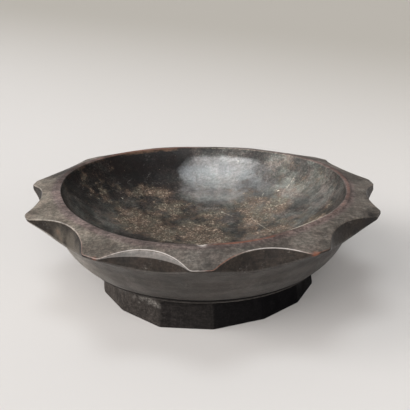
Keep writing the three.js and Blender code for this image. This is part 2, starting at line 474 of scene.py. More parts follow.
bowlShape = {
    "tipRadius": 135.0,         # axis to the blunt end of a full point
    "tipHeight": 71.4,
    "tipThickness": 1.6,
    "tipSquare": 15,            # degrees either side of a point that its squaring cut reaches
    "scallopLean": 8.0,         # how far a scallop's face leans out towards its foot
    "bevelLean": 34.0,          # the same for a bevel along a scallop's top
    "leastBevel": 0.25,         # share of the edge's thickness that the bevel's rows keep
    "mouthRadius": 107.5,
    "mouthHeight": 77.0,
    "lipWidth": 4.0,
    "lipRise": 0.9,
    "grooveDepth": 0.5,
    "grooveFade": (14, 6),      # how quickly the groove ends over the flat
    "hollowDepth": 41.0,
    "hollowWall": 0.93,         # share of the mouth's radius that the hollow's wall draws in to
    "hollowFullness": 0.62,
    "hollowSteepness": 0.5,
    "collarRadius": 90.5,
    "collarHeight": 25.8,
    "waistRadius": 110.0,
    "waistHeight": 49.0,
    "bellyHandles": ((0.5, 0.28), (0.78, 0.58)),    # each a share of the way out and of the way up
    "flareHandles": ((0.16, 0.3), (0.54, 0.7)),
    "seamHeight": 27.4,
    "glueGap": 0.3,
    "spigotRadius": 32.0,
    "spigotLength": 7.0,
    "rimTwist": 2.6,            # dried rim: down in front and behind, up at the sides
    "rimTwistTurn": -9.5,
    "rimTilt": 0.7,
    "rimTiltTurn": 20.0,
    "cornerWear": 1.25,         # how softly the points' corners are rounded in plan
    "leanWear": 1.5,            # how much more softly a scallop's lean begins
    "topEdge": 0.7,             # setback of the rounded edge along the scallops
    "lowerEdge": 0.7,
    "seamEdge": 0.8,
    "columns": 720,
    "hollowRows": 46,
    "lipRows": 9,
    "flatRows": 17,
    "edgeRows": 7,
    "bevelRows": 5,
    "faceRows": 9,
    "wallRows": 29,
    "middleRow": 0.992,         # where on the hollow's curve its rows begin
    "closeRows": (0.985, 0.08, 0.04),   # shares at which the flat's last row and the next zones' first lie
    "wallSteps": 300,           # steps of the belly and of the flare, which the next three count
    "lowerEdgeSteps": 30,       # from the lower edge down to where its rounding aims
    "wallFrom": 6,              # from the lower edge down to the wall's first row
    "seamSteps": (26, 21, 16),  # from the seam up to the wall's last two rows, and to the seam's first
    # turn off the even place, width of the blunt end, shortfall, and bite and bevel of the next scallop
    "points": [
        (-0.5, 15.0, 0.0, 16.3, 0.0), (1.0, 15.0, 0.0, 14.8, 0.0), (1.0, 12.5, 1.0, 13.5, 0.0),
        (-1.7, 13.5, 3.5, 15.0, 0.0), (0.0, 13.5, 1.0, 16.0, 0.0), (0.0, 13.5, 0.0, 16.0, 0.0),
        (0.0, 13.5, 1.5, 16.5, 0.0), (0.0, 13.5, 7.5, 15.0, 0.0), (0.5, 11.0, 2.0, 14.2, 0.0),
        (-2.0, 11.0, 0.0, 17.3, 0.0), (0.5, 13.5, 0.0, 17.0, 2.2),
    ],
    # how far the worn mouth stands out of its true circle, at turns round it
    "mouthWear": [
        (-170, 0.0), (-112, 2.6), (-90, 0.2), (-72, -1.2), (-45, -0.7), (-22, 2.0),
        (0, 0.9), (20, 0.5), (40, -2.6), (58, 0.0), (85, -1.2), (110, 0.0),
    ],
    # share of the lip's rise that wear has left, and depth of the groove outside it
    "lipLeft": [(-120, 0.1), (-60, 0.12), (-20, 0.35), (10, 0.6), (40, 1.0), (90, 1.0), (140, 0.6)],
    "lipGroove": [(-90, 0.0), (0, 0.1), (35, 0.8), (80, 1.0), (120, 0.3), (160, 0.0)],
    "soften": {"mouthWear": 6, "lipLeft": 8, "lipGroove": 8},     # degrees that each curve is softened by
    # small knocks, each (x, y, z, reach, depth)
    "knocks": [
        (-1.5, -110.0, 76.5, 3.4, 1.3), (-104, -44, 74, 3.0, 0.5), (60, -101, 73, 2.5, 0.5),
        (98, 12, 76, 2.5, 0.5),
    ],
    # lumps and dents that the tools left: size, height outside and in the hollow, seed
    "lumps": [(26.0, 0.15, 0.36, 11), (11.0, 0.08, 0.192, 12), (3.5, 0.05, 0.05, 13)],
    "steadyEdge": (9, 1),       # how far inside the tips the lumps begin to fade, and are gone
}


def outerProfile(shape):  # radius and height up the outer wall, from under the seam to past the tips
    collar = np.array([shape["collarRadius"], shape["collarHeight"]])
    waist = np.array([shape["waistRadius"], shape["waistHeight"]])
    tip = np.array([shape["tipRadius"], shape["tipHeight"] - shape["tipThickness"]])

    def curve(start, end, handles):
        turned = [start + np.array(handle) * (end - start) for handle in handles]
        return bezier([start, *turned, end], np.linspace(0, 1, shape["wallSteps"]))

    belly = curve(collar, waist, shape["bellyHandles"])
    flare = curve(waist, tip, shape["flareHandles"])
    return np.concatenate([belly, flare[1:], [tip + (3, 0)]])


def onWall(wall, index):  # places along the outer profile, also between its steps
    return np.stack([np.interp(index, np.arange(len(wall)), wall[:, axis]) for axis in (0, 1)])


def rimTopAt(shape, radius):
    rimInner = shape["mouthRadius"] + shape["lipWidth"]
    fall = (shape["mouthHeight"] - shape["tipHeight"]) / (shape["tipRadius"] - rimInner)
    return shape["mouthHeight"] - fall * (radius - rimInner)


def pointTurn(shape, index):
    count = len(shape["points"])
    return 2 * np.pi * index / count + math.radians(shape["points"][index % count][0])


def circleCentre(first, second, third):
    p, q = second - first, third - first
    area = 2 * (p[0] * q[1] - p[1] * q[0])
    return first + np.array([
        q[1] * (p @ p) - p[1] * (q @ q),
        p[0] * (q @ q) - q[0] * (p @ p),
    ]) / area


def scallopSpans(shape):  # the points on either side of each scallop, and the turns that it goes between
    points = shape["points"]
    for index, (near, far) in enumerate(zip(points, points[1:] + points[:1])):
        start = pointTurn(shape, index) + math.atan(near[1] / 2 / shape["tipRadius"])
        end = pointTurn(shape, index + 1) - math.atan(far[1] / 2 / shape["tipRadius"])
        yield near, far, start, end


def rimOutline(shape, turns, withBevels):  # radius of the star's upper edge at each turn
    full = shape["tipRadius"]
    beyond = full + 4
    outline = np.full(len(turns), beyond)
    for index, (near, far, start, end) in enumerate(scallopSpans(shape)):
        middle = (start + end) / 2
        bevelled = withBevels and near[4] > 0
        lean = math.radians(shape["bevelLean"] if bevelled else shape["scallopLean"])
        deep = full - near[3] + (0 if bevelled else near[4])

        def across(turn, radius):
            side = radius * np.sin(turn - middle)
            out = (radius * np.cos(turn - middle) - deep) * math.cos(lean)
            out = out + (rimTopAt(shape, radius) - rimTopAt(shape, deep)) * math.sin(lean)
            return np.stack([side, out], axis=-1)

        # the gouge's circle goes through both corners and the scallop's deepest place
        centre = circleCentre(across(start, full - near[2]), np.zeros(2), across(end, full - far[2]))
        reach = np.linalg.norm(centre)
        away = turnFrom(turns, middle)
        inside = np.abs(away) < (end - start) / 2
        low = np.full(inside.sum(), deep - 2)
        high = np.full(inside.sum(), beyond)
        for halving in range(24):
            trial = (low + high) / 2
            kept = np.linalg.norm(across(away[inside] + middle, trial) - centre, axis=-1) > reach
            low = np.where(kept, trial, low)
            high = np.where(kept, high, trial)
        outline[inside] = np.minimum(outline[inside], low)
        # the chisel cut that squares off the point
        away = turnFrom(turns, pointTurn(shape, index))
        nearEnd = np.abs(away) < math.radians(shape["tipSquare"])
        outline[nearEnd] = np.minimum(outline[nearEnd], (full - near[2]) / np.cos(away[nearEnd]))
    return outline


def inScallops(shape, turns):  # 1 at the turns that a scallop takes, and 0 at the points' ends
    found = np.zeros(len(turns))
    for _, _, start, end in scallopSpans(shape):
        found[np.abs(turnFrom(turns, (start + end) / 2)) < (end - start) / 2] = 1.0
    return found


def warpRim(shape, turns, radius, height):
    share = smoothStep(height, shape["seamHeight"] + shape["glueGap"], shape["tipHeight"])
    reach = radius / shape["tipRadius"]
    twist = shape["rimTwist"] * reach**2 * np.cos(2 * (turns - math.radians(shape["rimTwistTurn"])))
    tilt = shape["rimTilt"] * reach * np.cos(turns - math.radians(shape["rimTiltTurn"]))
    return height + share * (tilt - twist)


def hollowRows(shape, turns, wear):  # from the middle out to the mouth
    mouth, top, depth = shape["mouthRadius"], shape["mouthHeight"], shape["hollowDepth"]
    curve = bezier([
        (mouth, top),
        (mouth * shape["hollowWall"], top - shape["hollowSteepness"] * depth),
        (mouth * shape["hollowFullness"], top - depth),
        (0, top - depth),
    ], np.linspace(shape["middleRow"], 0.0, shape["hollowRows"]))
    return [flatRow(turns, radius + wear * (radius / mouth) ** 3, height) for radius, height in curve]


def lipRows(shape, turns, wear, groove):
    left = curveRound(shape, "lipLeft", turns)
    mouth, half = shape["mouthRadius"] + wear, shape["lipWidth"] / 2
    rows = []
    for share in np.linspace(0, 1, shape["lipRows"] + 1)[1:]:
        rise = shape["lipRise"] * left * math.sin(math.pi * share)
        sink = shape["grooveDepth"] * groove * max(0.0, 2 * share - 1)
        radius = mouth + half - half * math.cos(math.pi * share)
        rows.append(flatRow(turns, radius, shape["mouthHeight"] + rise - sink))
    return rows


def lowerEdgeIndex(wall, mainCut, mainTop, lean):  # where a face that leans out meets the outer profile
    face = mainCut + (mainTop - wall[:, 1:2]) * lean
    after = np.argmax(wall[:, 0:1] >= face, axis=0)
    before = np.maximum(after - 1, 0)
    columns = np.arange(len(mainCut))
    gapBefore = face[before, columns] - wall[before, 0]
    gapAfter = wall[after, 0] - face[after, columns]
    return before + gapBefore / np.maximum(gapBefore + gapAfter, 1e-9)


def rimRows(shape, turns, wear, groove, wall):  # the rim's flat, its star edge, and the cuts below it
    spread = shape["cornerWear"] / (2 * np.pi * shape["tipRadius"] / shape["columns"])
    outline = roundBlend(rimOutline(shape, turns, True), spread)
    mainCut = np.maximum(roundBlend(rimOutline(shape, turns, False), spread), outline)
    leaning = roundBlend(inScallops(shape, turns), spread * shape["leanWear"])
    lean = math.tan(math.radians(shape["scallopLean"])) * leaning
    mainTop = rimTopAt(shape, mainCut)
    lowIndex = lowerEdgeIndex(wall, mainCut, mainTop, lean)
    inner = flatRow(turns, shape["mouthRadius"] + wear + shape["lipWidth"], shape["mouthHeight"])
    top = np.stack([outline, rimTopAt(shape, outline)])
    low = onWall(wall, lowIndex)
    # the crease, where a bevel gives way to the main cut below it
    steeper = math.tan(math.radians(shape["bevelLean"])) - lean
    crease = (outline + top[1] * (steeper + lean) - mainCut - mainTop * lean) / steeper
    crease = np.minimum(crease, top[1] - shape["leastBevel"] * (top[1] - low[1]))
    crease = np.stack([mainCut + (mainTop - crease) * lean, crease])
    edge = roundedCorner(inner, top, crease, shape["topEdge"], shape["edgeRows"])
    under = onWall(wall, lowIndex - shape["lowerEdgeSteps"])
    lowEdge = roundedCorner(crease, low, under, shape["lowerEdge"], 3)
    quick, wide = shape["grooveFade"]
    lastFlat, firstBevel, firstFace = shape["closeRows"]
    flat = [
        inner + share * (edge[0] - inner)
        - np.array([[0], [1]]) * shape["grooveDepth"] * groove * np.exp(-((share * quick) ** 2) / wide)
        for share in [*np.linspace(0, 1, shape["flatRows"])[1:-1], lastFlat]
    ]
    bevelShares = [firstBevel, *np.linspace(0, 1, shape["bevelRows"])[1:]]
    faceShares = [firstFace, *np.linspace(0, 1, shape["faceRows"])[1:-1]]
    return lowIndex, {
        "flat": flat,
        "edge": edge,
        "bevel": [edge[-1] + share * (crease - edge[-1]) for share in bevelShares],
        "face": [crease + share * (lowEdge[0] - crease) for share in faceShares],
        "lowEdge": lowEdge,
    }


def bowlProfile(shape, turns):  # rows of (radius, height) per column, and the zone of each row
    wear = curveRound(shape, "mouthWear", turns)
    groove = curveRound(shape, "lipGroove", turns)
    wall = outerProfile(shape)
    joint = shape["seamHeight"] + shape["glueGap"]
    stretches = {"hollow": hollowRows(shape, turns, wear), "lip": lipRows(shape, turns, wear, groove)}
    lowIndex, rim = rimRows(shape, turns, wear, groove, wall)
    stretches.update(rim)
    # down the flare and the belly to the seam, whose lower edge is rounded
    seamIndex = int(np.argmax(wall[:, 1] >= joint))
    first = lowIndex - shape["wallFrom"]
    last, lowest, above = [np.full(len(turns), seamIndex + steps) for steps in shape["seamSteps"]]
    shares = np.linspace(0, 1, shape["wallRows"])
    stretches["wall"] = [onWall(wall, first + share * (last - first)) for share in shares]
    stretches["wall"].append(onWall(wall, lowest))
    start = onWall(wall, above)
    corner = flatRow(turns, *wall[seamIndex])
    under = corner - np.array([[3.0], [0.0]])
    stretches["seam"] = [start, *roundedCorner(start, corner, under, shape["seamEdge"], 3)]
    # under the bowl: the joint's flat and the spigot
    spigot, spigotFoot = shape["spigotRadius"], shape["seamHeight"] - shape["spigotLength"]
    hidden = [(2 * spigot, joint), (spigot, joint), (spigot, spigotFoot), (spigot / 4, spigotFoot)]
    stretches["under"] = [flatRow(turns, radius, height) for radius, height in hidden]
    profile = [row for rows in stretches.values() for row in rows]
    zones = [zone for zone, rows in stretches.items() for row in rows]
    return np.array(profile), np.array(zones)


bowlFinish = {
    "hollow": (0.018, 0.0150, 0.0140),
    # a grey for dust haze, and for painted sheen and painted highlight in the hollow
    "hazeAndSheen": (0.178, 0.166, 0.150),
    "coolLean": (0.91, 0.985, 0.955),
    "warmLean": (1.09, 0.98, 0.935),
    "lip": (0.098, 0.074, 0.066),
    # the lighter colour after a zone's own colour is painted light, for the side where most light falls
    "lipFaded": (0.155, 0.115, 0.105),
    "flat": (0.074, 0.063, 0.056),
    "flatFaded": (0.185, 0.155, 0.125),
    "bevel": (0.095, 0.085, 0.078),
    "face": (0.016, 0.0115, 0.0088),
    "wall": (0.036, 0.0315, 0.0285),
    "wallFaded": (0.215, 0.192, 0.168),
    "stain": (0.105, 0.088, 0.068),
    "rubbedBrown": (0.135, 0.078, 0.050),
    "nicked": (0.78, 0.71, 0.57),
    "rubbedRed": (0.22, 0.075, 0.042),
    # a pale for rubbed wear, and for painted highlights and painted sheen
    "rubbedPaleAndHighlight": (0.49, 0.445, 0.415),
    "dustFilm": (0.125, 0.092, 0.068),
    "dustSpecks": (0.44, 0.375, 0.295),
    # a near black for painted shade, and for the joint line
    "soot": (0.008, 0.0065, 0.0065),
    # what the effects are given, with sizes in metres
    "patina": {"Cloud": 0.020, "Fleck": 0.0022},
    "grain": {"Spacing": 0.0016, "Stretch": 0.09},
    "scratchSpacing": 0.005,
    "bandSpacing": 0.004,
    "dustSpeck": 0.0017,
    "polishBreakup": 0.014,
    # noises, each its scale, detail, roughness and growth
    "fineGrain": (700.0, 4.0, 0.8, 0.36, 0.64, 0.45, 1.6),
    "leaning": (90.0, 5.0, 0.7, 0.38, 0.62),
    # each pair is what an effect comes to where its mask is 0, and where it is 1
    "hazeAndSheenInClouds": (0.5, 1.0),
    "cloudLight": (0.68, 1.32),
    "fleckLight": (0.70, 1.38),
    "streakLight": (0.86, 1.13),
    "bandLight": (0.74, 1.26),
    "polishedGrain": (1.0, 0.3),
    "specksInHollow": (0.35, 0.8),
    "leanInHollow": (0.3, 1.0),
    "scratchesOnFlat": (0.16, 0.34),
    "cloudRoughness": (0.50, 0.38),
    "fleckedPolish": (0.8, 1.0),
    "filmOnGrain": (0.6, 1.4, 0.35, 0.85),  # film over dark grain and light grain, and its shares there
    "hazeAndSheenSoftens": 0.45,
    "bandShare": 0.6,
    "hollowGloss": 0.08,
    "dustDulls": 0.3,
    "relief": {"flecks": 0.5, "scratches": -0.5, "pits": -0.3, "specks": 0.5},
    "bump": {"Strength": 0.4, "Distance": 0.0004},
    "shader": {"Coat Roughness": 0.28, "Coat IOR": 2.9, "Specular IOR Level": 0.2},
    # painted shade and wear, from the lowest layer up, each (mask, size that it breaks up in, strength,
    # colour)
    # the lowest layer is painted shade
    "shadeUnderDust": [("soot", 0.012, 0.85, "soot")],
    "wearOverDust": [
        ("stain", 0.006, 0.6, "stain"),
        ("brown", 0.0035, 0.8, "rubbedBrown"),
        ("red", 0.005, 0.6, "rubbedRed"),
        ("pale", 0.005, 0.7, "rubbedPaleAndHighlight"),
        ("scuffed", 0.0025, 0.8, "nicked"),
    ],
    # rows of the edge and the lip that are worn, counted from the first row of each
    "edgeCrown": (2, 5),
    "lipCrest": (2, 6),
    "lipInside": (-1, 3),
    "bevelCrestSheen": 0.42,         # painted sheen: how much lighter the top of a bevel is
    "dustAllOver": 0.18,
    # how far brown wear goes down into the hollow, and the lip's own brown out over the flat: a wander is
    # its size, reach and seed
    "brownBelow": (-2.6, -0.6),
    "brownWander": (4.0, 1.2, 33),
    "lipOutside": (0.3, 4.5),
    "lipWander": (5.0, 1.0, 32),
    # degrees that each curve round the bowl is softened by
    "soften": {
        "edgePale": 1.2, "edgeRed": 1.2, "lipRed": 3, "lipBrown": 0.7, "lipScuffs": 1.2, "fadedFlat": 5,
        "fadedWall": 5, "seamGrime": 4,
    },
    # pale wear along the star's edge, by turn
    "edgePale": [
        (-65, 0.35), (-50, 0.55), (-37, 0.3), (-31, 0.5), (-25, 0.8), (-15, 0.9), (-8, 0.8), (-3, 1.0),
        (2, 0.15), (8, 0.1), (13, 0.6), (20, 1.0), (27, 0.9), (31, 0.1), (40, 0.05), (60, 0.05), (66, 0.3),
        (72, 0.1), (100, 0.3), (130, 0.4), (180, 0.4), (-140, 0.4), (-95, 0.4),
    ],
    # red wear along it
    "edgeRed": [
        (-60, 0.1), (-39, 0.5), (-36, 1.0), (-31, 1.0), (-28, 0.5), (-20, 0.0), (-4, 0.0), (1.5, 0.8),
        (4, 1.0), (8, 0.8), (13, 0.5), (18, 0.1), (28, 0.3), (31, 1.0), (34, 0.6), (40, 0.1), (66, 0.1),
        (100, 0.2), (140, 0.2), (180, 0.2), (-140, 0.2), (-95, 0.1),
    ],
    # red wear along the lip
    "lipRed": [
        (-168, 0.8), (-150, 1.0), (-138, 0.6), (-118, 0.25), (-60, 0.18), (-30, 0.1), (-5, 0.0), (5, 0.5),
        (13, 0.8), (21, 0.55), (32, 0.25), (60, 0.3), (85, 0.42), (115, 0.36), (150, 0.2), (180, 0.05),
    ],
    # brown wear of the lip and the top of the hollow
    "lipBrown": [
        (-168.5, 0.0), (-167.5, 0.65), (-142, 0.6), (-139, 0.3), (-115, 0.35), (-100, 0.2), (-60, 0.1),
        (180, 0.0),
    ],
    # pale scuffs along the lip's inner edge
    "lipScuffs": [
        (28, 0.0), (33, 0.5), (35, 1.0), (38, 0.9), (41, 0.7), (47, 0.6), (53, 0.4), (60, 0.1), (100, 0.15),
        (140, 0.25), (178, 0.3), (-168, 0.1), (-160, 0.0),
    ],
    # how much painted light lightens the flat of the rim, and the wall, at the side where most light falls
    "fadedFlat": [
        (-125, 1.2), (-105, 1.0), (-90, 0.95), (-50, 0.8), (-20, 0.35), (0, 0.05), (45, 0.3), (90, 0.3),
        (130, 0.4), (180, 0.6),
    ],
    "fadedWall": [
        (-110, 0.9), (-75, 1.0), (-55, 0.85), (-46, 0.45), (-39, 0.18), (-32, 0.10), (-15, 0.07), (5, 0.06),
        (25, 0.02), (40, 0.0), (180, 0.05),
    ],
    # how black the joint line is
    "seamGrime": [(-95, 0.3), (-40, 0.35), (-12, 0.8), (5, 1.0), (60, 1.0), (180, 0.7)],
    # spots of paint, each (x, y, z, reach, strength)
    "dustSpots": [
        (-41, 68, 50, 16, 1.0), (-28, 50, 43, 14, 0.8), (-47, 17, 41, 22, 1.1), (-30, 4, 38, 20, 1.1),
        (-3, 11, 36, 26, 0.8), (38, 50, 44, 18, 0.8), (42, 28, 41, 16, 1.1), (60, 36, 46, 14, 1.0),
        (0, -15, 37, 30, 0.8), (72, 56, 58, 18, 0.5), (50, -12, 41, 24, 0.8), (-70, 34, 50, 18, 0.45),
        (82, -14, 54, 11, 1.0), (5, 38, 39, 16, 0.6),
    ],
    "dustFreeSpots": [(-40, 92, 64, 30, 0.7), (20, 106, 72, 26, 0.6), (-46, 20, 41, 22, 0.15)],
    "stainSpots": [
        (-98, -70, 67, 9, 0.7), (-88, -80, 64, 9, 1.0), (-83, -89, 64, 6, 1.0), (-105, -62, 71, 6, 0.3),
    ],
    "brownSpots": [(-99.5, -68.5, 68, 3.0, 0.5), (-97.5, -70, 64, 3.2, 0.3)],
    # painted shade: the upper left and back of the hollow, and the wall under the point at the right
    "sootSpots": [
        (-95, 34, 62, 36, 1.0), (-62, 76, 62, 32, 1.0), (-28, 102, 70, 22, 0.9), (12, 108, 74, 16, 0.7),
        (115, -58, 69, 10, 0.9), (105, -66, 66, 9, 0.6),
    ],
    "redSpots": [(73, -110, 72.5, 2.5, 0.3), (71, -115, 71.4, 3, 0.9), (-69, -116, 70.0, 2.5, 0.5)],
    # a pale chip at the front of the lip, and painted highlights on the point at the right
    "paleAndHighlightSpots": [(-1, -108.8, 76.3, 3.6, 0.9), (116, -53, 72.5, 2.5, 0.5), (124, -50, 71.5, 2, 0.45)],
    "polishSpots": [
        (14, 86, 54, 32, 1.4), (40, 70, 52, 26, 0.8), (86, 20, 55, 34, 0.4), (20, 40, 41, 24, 0.35),
        (50, 50, 50, 36, 0.5),
    ],
    # the polish stops short of the lip, and at its left sharply, along a slanting line that wanders
    "polishEdge": {
        "start": -20, "slant": 0.8, "height": 66, "wander": (6.0, 2.0, 31), "softness": (4, 20),
        "softBelow": (60, 50), "top": (72, 65),
    },
    # grey haze of dust in the hollow, and painted sheen and painted highlight on its right and back walls
    "hazeAndSheenSpots": [
        (72, 56, 57, 30, 1.1), (96, 22, 65, 30, 0.6), (46, 26, 41, 28, 0.7), (14, 68, 46, 26, 0.9),
        (68, 80, 68, 22, 1.0), (-85, 4, 52, 34, 0.6), (56, -4, 44, 30, 0.7), (-20, 20, 38, 40, 0.14),
        (18, 90, 56, 26, 0.8), (88, 44, 60, 22, 1.5), (-66, 40, 50, 26, 0.2),
    ],
    # nicks in the hollow: (x, y, then how far along x and y, width, strength)
    "nicks": [
        (76, 62, -2.6, -2.8, 0.8, 0.6), (71.5, 57.5, -2.0, -2.4, 1.1, 0.6), (62, 56, 0.8, 0, 1.3, 1.0),
        (15, 41.5, 0.8, 0, 1.5, 1.0), (16, 40.5, 8.0, -7.5, 0.7, 0.5), (38.5, 26, 15, -34, 0.8, 0.4),
        (-67.3, 45.3, 0.5, 0, 1.4, 1.0), (-15.5, 18, 0.5, 0, 1.2, 0.9), (49, 56, 1.5, 3, 1.1, 0.5),
        (30, 97.5, 0.5, 0, 1.1, 0.7),
    ],
}


def polishReach(places, edge):
    x, z = places[..., 0], places[..., 2]
    line = x - edge["start"] + edge["slant"] * (edge["height"] - z) + wander(places, edge["wander"])
    sharp, soft = edge["softness"]
    softness = sharp + (soft - sharp) * smoothStep(z, *edge["softBelow"])
    return smoothStep(line / softness, 0, 1) * smoothStep(z, *edge["top"])


def bevelTurns(shape, turns):  # 1 along a scallop that has a bevel
    found = np.zeros(len(turns))
    for index, point in enumerate(shape["points"]):
        middle = (pointTurn(shape, index) + pointTurn(shape, index + 1)) / 2
        near = np.abs(turnFrom(turns, middle)) < math.pi / len(shape["points"])
        found[near & (point[4] > 0)] = 1.0
    return found


def bowlMasks(shape, finish, turns, profile, zones, places):
    columns = len(turns)

    def curve(name):
        return curveRound(finish, name, turns)

    def spots(name):
        return paintSpots(places, finish[name])

    def rows(zone, name):  # the rows of the edge or the lip that the finish names
        found = np.zeros(len(zones), bool)
        first = np.flatnonzero(zones == zone)[0]
        found[slice(*(first + np.array(finish[name])))] = True
        return wholeRows(found, columns)

    masks = {name: wholeRows(zones == name, columns) for name in ("hollow", "lip", "bevel", "face")}
    flat = wholeRows(zones == "flat", columns) + wholeRows(zones == "edge", columns)
    # only a scallop that has a bevel shows it: elsewhere those rows belong to the face
    bevelHere = bevelTurns(shape, turns)
    masks["face"] += masks["bevel"] * (1 - bevelHere)
    masks["bevel"] *= bevelHere
    masks["calm"] = 1 - flat - masks["hollow"] - masks["lip"] - masks["face"]
    # spots of stain, and spots of painted shade
    for name in ("stain", "soot"):
        masks[name] = spots(name + "Spots")
    # grey haze, partly dust and partly painted sheen and painted highlight
    masks["hazeAndSheen"] = masks["hollow"] * spots("hazeAndSheenSpots")
    polished = spots("polishSpots") * polishReach(places, finish["polishEdge"])
    masks["polished"] = masks["hollow"] * polished
    dusty = finish["dustAllOver"] + spots("dustSpots")
    masks["dusty"] = masks["hollow"] * (dusty - spots("dustFreeSpots"))
    masks["grime"] = wholeRows(zones == "seam", columns) * curve("seamGrime")
    masks["scuffed"] = rows("lip", "lipInside") * curve("lipScuffs")
    # edges are rubbed pale or red, a bevel gets a painted sheen that is palest along its top, and the point
    # at the right gets painted highlights
    crown = rows("edge", "edgeCrown")
    bevelShare = np.clip(np.cumsum(zones == "bevel") / shape["bevelRows"], 0, 1)[:, None]
    masks["pale"] = np.maximum.reduce([
        crown * curve("edgePale"),
        finish["bevelCrestSheen"] * masks["bevel"] * (1 - bevelShare),
        spots("paleAndHighlightSpots"),
    ])
    masks["red"] = np.maximum.reduce([
        crown * curve("edgeRed"),
        rows("lip", "lipCrest") * curve("lipRed"),
        spots("redSpots"),
    ])
    # painted light: the flat and the wall are lighter at the side where most light falls
    masks["faded"] = curve("fadedWall") * masks["calm"] + curve("fadedFlat") * (flat + masks["lip"])
    # brown wear goes a little way over the lip into the hollow
    above = profile[:, 1] - shape["mouthHeight"] + wander(places, finish["brownWander"])
    nearLip = masks["hollow"] * smoothStep(above, *finish["brownBelow"])
    brown = curve("lipBrown") * np.maximum(masks["lip"], nearLip)
    masks["brown"] = np.maximum(brown, spots("brownSpots"))
    # the lip's purplish brown fades out over the inner part of the flat
    outside = profile[:, 0] - profile[np.flatnonzero(zones == "lip")[-1], 0]
    outside = outside + wander(places, finish["lipWander"])
    masks["lip"] += flat * (1 - smoothStep(outside, *finish["lipOutside"]))
    return {"flat": flat, **masks}


def bowlMaterial(finish):
    material, shader, place = startMaterial("patinatedWood")
    patina, grain, scratches = woodEffects(place, finish)
    hollow, flat, faded = [readMask(place, name) for name in ("hollow", "flat", "faded")]
    # painted light: the wall, the flat and the lip go to lighter colours at the side where most light falls
    colour = mixColour(faded, finish["wall"], finish["wallFaded"])
    for zone in ("flat", "lip"):
        paint = mixColour(faded, finish[zone], finish[zone + "Faded"])
        colour = mixColour(readMask(place, zone), colour, paint)
    colour = paintZones(place, colour, finish, {"face": "face", "bevel": "bevel", "hollow": "hollow"})
    # grey haze, partly dust and partly painted sheen and painted highlight
    hazeAndSheen = between(patina["Clouds"], *finish["hazeAndSheenInClouds"])
    hazeAndSheen = times(hazeAndSheen, readMask(place, "hazeAndSheen"), True)
    colour = mixColour(hazeAndSheen, colour, finish["hazeAndSheen"])
    # clouds, flecks and fibres of the old polish: the hollow is grainier where it has lost its polish
    polish = brokenUpMask(place, "polished", finish["polishBreakup"])
    grainy = times(hollow, between(polish, *finish["polishedGrain"]))
    fine = blend(grainy, 1.0, noiseMask(place, *finish["fineGrain"]))
    light = between(patina["Clouds"], *finish["cloudLight"])
    light = times(light, between(patina["Flecks"], *finish["fleckLight"]))
    light = times(light, fine)
    light = times(light, between(grain["Streaks"], *finish["streakLight"]))
    # haze and painted sheen cover part of them, and the calm wall shows the turning tool's bands instead
    light = blend(times(hazeAndSheen, finish["hazeAndSheenSoftens"]), light, 1.0)
    bands = useGroup(turningGroup, place, Spacing=finish["bandSpacing"])["Bands"]
    banded = greyColour(between(bands, *finish["bandLight"]))
    calm = times(readMask(place, "calm"), finish["bandShare"])
    shade = mixColour(calm, greyColour(light), banded)
    colour = mixColour(1.0, colour, shade, "MULTIPLY")
    # painted shade, broken up in patches
    colour = paintWearAndShade(place, colour, finish, finish["shadeUnderDust"])
    colour = mixColour(readMask(place, "grime"), colour, finish["soot"])
    # dust in the hollow, and a few specks of it everywhere else
    dust = useGroup(dustGroup, place, Paint=readMask(place, "dusty"), Speck=finish["dustSpeck"])
    film = times(dust["Film"], remap(fine, *finish["filmOnGrain"]))
    film = times(film, hollow)
    colour = mixColour(film, colour, finish["dustFilm"])
    specks = times(dust["Specks"], between(hollow, *finish["specksInHollow"]))
    colour = mixColour(specks, colour, finish["dustSpecks"])
    # patches that lean to brown or to a greenish grey
    patches = noiseMask(place, *finish["leaning"])
    leaning = mixColour(patches, finish["coolLean"], finish["warmLean"])
    colour = mixColour(between(hollow, *finish["leanInHollow"]), colour, leaning, "MULTIPLY")
    # the pale layer holds rubbed wear, a painted sheen on the bevel and painted highlights on the right
    # point
    colour = paintWearAndShade(place, colour, finish, finish["wearOverDust"])
    scratched = times(scratches, between(flat, *finish["scratchesOnFlat"]))
    colour = mixColour(scratched, colour, finish["rubbedPaleAndHighlight"])
    for x, y, alongX, alongY, width, strength in finish["nicks"]:
        start = (x * millimetre, y * millimetre, 0.0)
        along = (alongX * millimetre, alongY * millimetre, 0.0)
        nick = useGroup(nickGroup, place, Start=start, Along=along, Width=width * millimetre)["Mask"]
        nick = times(nick, times(hollow, strength))
        colour = mixColour(nick, colour, finish["nicked"])
    # the hollow keeps a thin polish that dust dulls
    dull = larger(film, specks)
    roughness = between(patina["Clouds"], *finish["cloudRoughness"])
    roughness = minus(roughness, times(hollow, finish["hollowGloss"]))
    roughness = plus(roughness, times(dull, finish["dustDulls"]), True)
    coat = times(polish, minus(1.0, dull), True)
    coat = times(coat, between(patina["Flecks"], *finish["fleckedPolish"]))
    normal = reliefNormal(
        finish, grain["Height"],
        flecks=patina["Flecks"], scratches=scratches, pits=patina["Pits"], specks=specks,
    )
    setShader(shader, {
        **finish["shader"], "Base Color": colour, "Roughness": roughness, "Coat Weight": coat,
        "Normal": normal, "Coat Normal": normal,
    })
    return material


